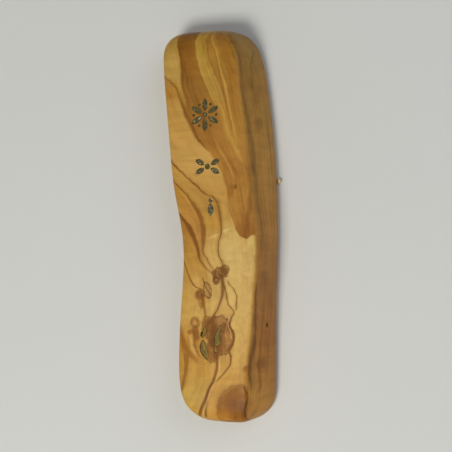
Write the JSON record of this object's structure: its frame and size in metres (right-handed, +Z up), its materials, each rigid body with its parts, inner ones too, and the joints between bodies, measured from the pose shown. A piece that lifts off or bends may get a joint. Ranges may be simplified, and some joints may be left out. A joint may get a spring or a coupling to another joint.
{
  "type": "mezuzah case",
  "caption": "Carved olive-wood scroll case with inlaid ornaments, a keyhole hanger and a dovetailed back tray that slides down with the rolled scroll.",
  "frame": {"origin": "middle of the flat back, on the plane that lies against the doorpost", "axes": "+X right as seen from the front, +Y back into the doorpost, +Z up along the case"},
  "size_m": [0.0594, 0.0278, 0.1994],
  "materials": {
    "olive_wood": "satin oiled",
    "tray_wood": "sanded",
    "dowel_wood": "sanded",
    "stone_inlay": "speckled, polished",
    "amber_resin": "gloss",
    "adhesive": "soft translucent",
    "brass_plate": "brushed",
    "screw_steel": "zinc plated",
    "magnet_plating": "nickel plated",
    "parchment": "matt",
    "clear_film": "clear film",
    "cotton_tape": "woven"
  },
  "bodies": {
    "case": {"case_body": "olive_wood", "upper_ornament": "stone_inlay", "middle_ornament": "stone_inlay", "lower_ornament": "stone_inlay", "left_knot_fill": "amber_resin", "upper_knot_fill": "amber_resin", "right_knot_fill": "amber_resin", "left_mounting_strip": "adhesive", "right_mounting_strip": "adhesive", "hanger_plate": "brass_plate", "hanger_screws": "screw_steel", "case_magnet": "magnet_plating"},
    "tray": {"tray_back": "tray_wood", "tray_foot": "olive_wood", "foot_dowels": "dowel_wood", "tray_magnet": "magnet_plating"},
    "scroll": {"scroll_parchment": "parchment", "scroll_sleeve": "clear_film", "scroll_ties": "cotton_tape"}
  },
  "joints": [
    {"name": "tray_slide", "type": "slide", "parent": "case", "child": "tray", "axis": [0, 0, -1], "range_m": [0, 0.14]},
    {"name": "scroll_play", "type": "slide", "parent": "tray", "child": "scroll", "axis": [0, 0, 1], "range_m": [0, 0.003]}
  ]
}
